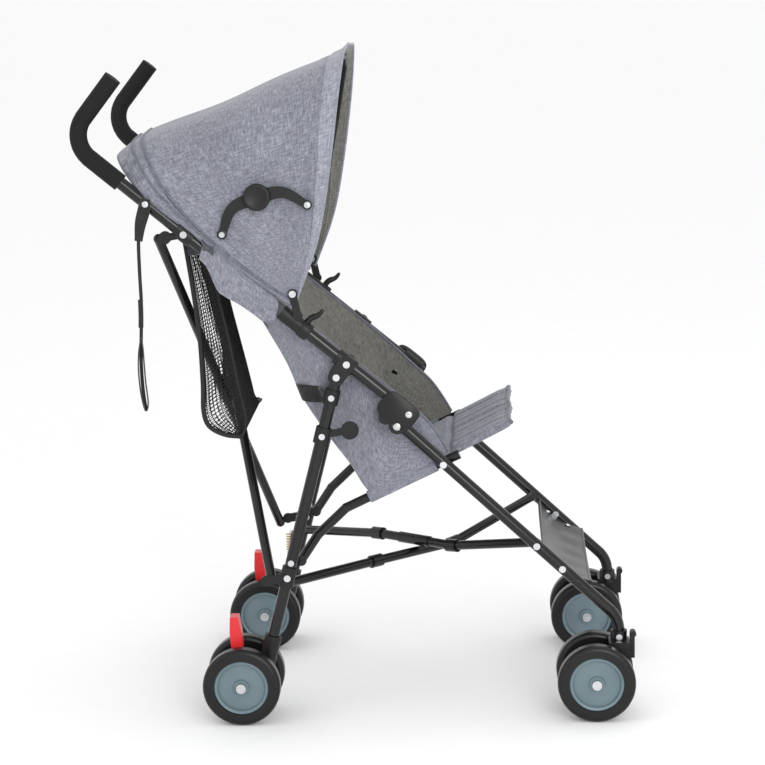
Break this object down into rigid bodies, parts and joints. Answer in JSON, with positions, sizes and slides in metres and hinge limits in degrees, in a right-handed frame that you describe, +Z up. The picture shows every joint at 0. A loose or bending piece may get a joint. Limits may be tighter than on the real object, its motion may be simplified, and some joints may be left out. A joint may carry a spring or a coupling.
{
  "type": "umbrella stroller",
  "caption": "Folding umbrella stroller with hooked foam grips, crossing braces, twin wheels on swivel casters, sling seat, canopy and mesh bag.",
  "frame": {"origin": "on the floor under the middle of the whole length, midway between the two sides", "axes": "+X forward, the way the child faces; +Y to the child's left; +Z up"},
  "size_m": [0.8006, 0.498, 0.9643],
  "materials": {
    "black_tube": "gloss black powder coat",
    "foam": "matt foam",
    "black_plastic": "satin moulded",
    "steel": "plated rivets",
    "tyre": "smooth solid tyre",
    "hub": "grey moulded",
    "red_plastic": "red moulded",
    "canopy_fabric": "blue-grey woven",
    "seat_fabric": "blue-grey woven, quilted",
    "vinyl": "black coated cloth",
    "mesh": "open black mesh",
    "webbing": "woven tape",
    "lock_metal": "stamped"
  },
  "bodies": {
    "frame_right": {"push_tube_right": "black_tube", "handle_grip_right": "foam", "frame_brackets_right": "black_plastic", "frame_pins_right": "steel", "seat_back": "seat_fabric", "seat_base": "seat_fabric", "storage_bag": "mesh", "back_strap": "webbing", "wrist_strap": "webbing", "canopy_right": "canopy_fabric"},
    "frame_left": {"push_tube_left": "black_tube", "handle_grip_left": "foam", "frame_brackets_left": "black_plastic", "frame_pins_left": "steel", "canopy_left": "canopy_fabric"},
    "rear_leg_right": {"rear_leg_right": "black_tube", "rear_brackets_right": "black_plastic", "wheel_housing_right": "black_plastic", "rear_pins_right": "steel"},
    "front_leg_right": {"front_leg_right": "black_tube", "caster_head_right": "black_plastic", "front_pins_right": "steel", "footrest": "vinyl"},
    "rear_wheels_right": {"rear_tyres_right": "tyre", "rear_hubs_right": "hub"},
    "caster_right": {"caster_fork_right": "black_plastic", "front_axle_right": "steel"},
    "front_wheels_right": {"front_tyres_right": "tyre", "front_hubs_right": "hub"},
    "brake_lever_right": {"brake_lever_right": "red_plastic"},
    "swivel_lock_right": {"swivel_lock_right": "black_plastic"},
    "seat_rail_right": {"seat_rail_right": "black_tube"},
    "canopy_bow_right": {"canopy_bow_right": "black_tube"},
    "stay_rear_right": {"stay_rear_right": "black_plastic"},
    "stay_front_right": {"stay_front_right": "black_plastic"},
    "rear_leg_left": {"rear_leg_left": "black_tube", "rear_brackets_left": "black_plastic", "wheel_housing_left": "black_plastic", "rear_pins_left": "steel"},
    "front_leg_left": {"front_leg_left": "black_tube", "caster_head_left": "black_plastic", "front_pins_left": "steel"},
    "rear_wheels_left": {"rear_tyres_left": "tyre", "rear_hubs_left": "hub"},
    "caster_left": {"caster_fork_left": "black_plastic", "front_axle_left": "steel"},
    "front_wheels_left": {"front_tyres_left": "tyre", "front_hubs_left": "hub"},
    "brake_lever_left": {"brake_lever_left": "red_plastic"},
    "swivel_lock_left": {"swivel_lock_left": "black_plastic"},
    "seat_rail_left": {"seat_rail_left": "black_tube"},
    "canopy_bow_left": {"canopy_bow_left": "black_tube"},
    "stay_rear_left": {"stay_rear_left": "black_plastic"},
    "stay_front_left": {"stay_front_left": "black_plastic"},
    "rear_cross_a": {"rear_cross_a": "black_tube"},
    "rear_cross_b": {"rear_cross_b": "black_tube"},
    "bottom_cross_a": {"bottom_cross_a": "black_tube"},
    "bottom_cross_b": {"bottom_cross_b": "black_tube"},
    "fold_lock": {"fold_lock": "lock_metal"}
  },
  "joints": [
    {"name": "fold", "type": "slide", "parent": "frame_right", "child": "frame_left", "axis": [0, -1, 0], "range_m": [0, 0.15], "deforming": ["seat_back", "seat_base", "storage_bag", "back_strap", "footrest", "canopy_right", "canopy_left", "canopy_bow_right", "canopy_bow_left"]},
    {"name": "rear_leg_fold_right", "type": "hinge", "parent": "frame_right", "child": "rear_leg_right", "pos_m": [-0.02838, -0.195, 0.505], "axis": [0, 1, 0], "range_deg": [-31.3, 0]},
    {"name": "front_leg_fold_right", "type": "hinge", "parent": "frame_right", "child": "front_leg_right", "pos_m": [0.05762, -0.176, 0.434], "axis": [0, 1, 0], "range_deg": [-82.8, 0]},
    {"name": "seat_rail_fold_right", "type": "hinge", "parent": "front_leg_right", "child": "seat_rail_right", "pos_m": [0.12262, -0.16, 0.372], "axis": [0, 1, 0], "range_deg": [0, 42]},
    {"name": "rear_wheel_spin_right", "type": "hinge", "parent": "rear_leg_right", "child": "rear_wheels_right", "pos_m": [-0.17238, -0.195, 0.0565], "axis": [0, 1, 0], "continuous": true},
    {"name": "caster_swivel_right", "type": "hinge", "parent": "front_leg_right", "child": "caster_right", "pos_m": [0.37562, -0.184, 0.076], "axis": [0, 0, 1], "continuous": true},
    {"name": "front_wheel_spin_right", "type": "hinge", "parent": "caster_right", "child": "front_wheels_right", "pos_m": [0.34162, -0.184, 0.0565], "axis": [0, 1, 0], "continuous": true},
    {"name": "brake_press_right", "type": "hinge", "parent": "rear_leg_right", "child": "brake_lever_right", "pos_m": [-0.17838, -0.195, 0.096], "axis": [0, 1, 0], "range_deg": [-30, 0]},
    {"name": "swivel_lock_slide_right", "type": "slide", "parent": "front_leg_right", "child": "swivel_lock_right", "axis": [0, 0, -1], "range_m": [0, 0.006]},
    {"name": "canopy_fold_right", "type": "hinge", "parent": "frame_right", "child": "canopy_bow_right", "pos_m": [-0.08838, -0.203, 0.626], "axis": [0, 1, 0], "range_deg": [-45, 0], "deforming": ["canopy_right", "canopy_left"]},
    {"name": "stay_rear_fold_right", "type": "hinge", "parent": "frame_right", "child": "stay_rear_right", "pos_m": [-0.18638, -0.206, 0.712], "axis": [0, 1, 0], "range_deg": [-67.9, 0]},
    {"name": "stay_front_fold_right", "type": "hinge", "parent": "stay_rear_right", "child": "stay_front_right", "pos_m": [-0.13538, -0.21, 0.765], "axis": [0, 1, 0], "range_deg": [0, 98.6]},
    {"name": "rear_leg_fold_left", "type": "hinge", "parent": "frame_left", "child": "rear_leg_left", "pos_m": [-0.02838, 0.195, 0.505], "axis": [0, 1, 0], "range_deg": [-31.3, 0]},
    {"name": "front_leg_fold_left", "type": "hinge", "parent": "frame_left", "child": "front_leg_left", "pos_m": [0.05762, 0.176, 0.434], "axis": [0, 1, 0], "range_deg": [-82.8, 0]},
    {"name": "seat_rail_fold_left", "type": "hinge", "parent": "front_leg_left", "child": "seat_rail_left", "pos_m": [0.12262, 0.16, 0.372], "axis": [0, 1, 0], "range_deg": [0, 42]},
    {"name": "rear_wheel_spin_left", "type": "hinge", "parent": "rear_leg_left", "child": "rear_wheels_left", "pos_m": [-0.17238, 0.195, 0.0565], "axis": [0, 1, 0], "continuous": true},
    {"name": "caster_swivel_left", "type": "hinge", "parent": "front_leg_left", "child": "caster_left", "pos_m": [0.37562, 0.184, 0.076], "axis": [0, 0, 1], "continuous": true},
    {"name": "front_wheel_spin_left", "type": "hinge", "parent": "caster_left", "child": "front_wheels_left", "pos_m": [0.34162, 0.184, 0.0565], "axis": [0, 1, 0], "continuous": true},
    {"name": "brake_press_left", "type": "hinge", "parent": "rear_leg_left", "child": "brake_lever_left", "pos_m": [-0.17838, 0.195, 0.096], "axis": [0, 1, 0], "range_deg": [-30, 0]},
    {"name": "swivel_lock_slide_left", "type": "slide", "parent": "front_leg_left", "child": "swivel_lock_left", "axis": [0, 0, -1], "range_m": [0, 0.006]},
    {"name": "canopy_fold_left", "type": "hinge", "parent": "frame_left", "child": "canopy_bow_left", "pos_m": [-0.08838, 0.203, 0.626], "axis": [0, 1, 0], "range_deg": [-45.1, 0]},
    {"name": "stay_rear_fold_left", "type": "hinge", "parent": "frame_left", "child": "stay_rear_left", "pos_m": [-0.18638, 0.206, 0.712], "axis": [0, 1, 0], "range_deg": [-67.9, 0]},
    {"name": "stay_front_fold_left", "type": "hinge", "parent": "stay_rear_left", "child": "stay_front_left", "pos_m": [-0.13538, 0.21, 0.765], "axis": [0, 1, 0], "range_deg": [0, 98.6]},
    {"name": "rear_cross_a_fold", "type": "hinge", "parent": "frame_right", "child": "rear_cross_a", "pos_m": [-0.2802, -0.183, 0.70413], "axis": [-0.5622, -0.5902, -0.5793], "range_deg": [0, 20.8]},
    {"name": "rear_cross_b_fold", "type": "hinge", "parent": "frame_left", "child": "rear_cross_b", "pos_m": [-0.26338, 0.183, 0.70859], "axis": [0.5622, -0.5902, 0.5793], "range_deg": [0, 20.8]},
    {"name": "bottom_cross_a_fold", "type": "hinge", "parent": "front_leg_right", "child": "bottom_cross_a", "pos_m": [0.25662, -0.153, 0.249], "axis": [0.4568, 0.6251, 0.6329], "range_deg": [0, 31.3]},
    {"name": "bottom_cross_b_fold", "type": "hinge", "parent": "front_leg_left", "child": "bottom_cross_b", "pos_m": [0.25662, 0.153, 0.249], "axis": [-0.4568, 0.6251, -0.6329], "range_deg": [0, 31.3]},
    {"name": "fold_lock_release", "type": "hinge", "parent": "rear_leg_right", "child": "fold_lock", "pos_m": [-0.09934, -0.18, 0.232], "axis": [0, 1, 0], "range_deg": [0, 25]}
  ],
  "couplings": [
    {"joint": "rear_leg_fold_right", "follows": "fold", "rad_per_m": -3.6192},
    {"joint": "front_leg_fold_right", "follows": "fold", "rad_per_m": -9.6118},
    {"joint": "seat_rail_fold_right", "follows": "fold", "rad_per_m": 4.8564},
    {"joint": "stay_rear_fold_right", "follows": "canopy_fold_right", "ratio": 1.507},
    {"joint": "stay_front_fold_right", "follows": "canopy_fold_right", "ratio": -2.187},
    {"joint": "rear_leg_fold_left", "follows": "fold", "rad_per_m": -3.6192},
    {"joint": "front_leg_fold_left", "follows": "fold", "rad_per_m": -9.6118},
    {"joint": "seat_rail_fold_left", "follows": "fold", "rad_per_m": 4.8564},
    {"joint": "canopy_fold_left", "follows": "canopy_fold_right", "ratio": 1},
    {"joint": "stay_rear_fold_left", "follows": "canopy_fold_right", "ratio": 1.507},
    {"joint": "stay_front_fold_left", "follows": "canopy_fold_right", "ratio": -2.187},
    {"joint": "rear_cross_a_fold", "follows": "fold", "rad_per_m": 2.3996},
    {"joint": "rear_cross_b_fold", "follows": "fold", "rad_per_m": 2.3996},
    {"joint": "bottom_cross_a_fold", "follows": "fold", "rad_per_m": 3.6167},
    {"joint": "bottom_cross_b_fold", "follows": "fold", "rad_per_m": 3.6167}
  ]
}
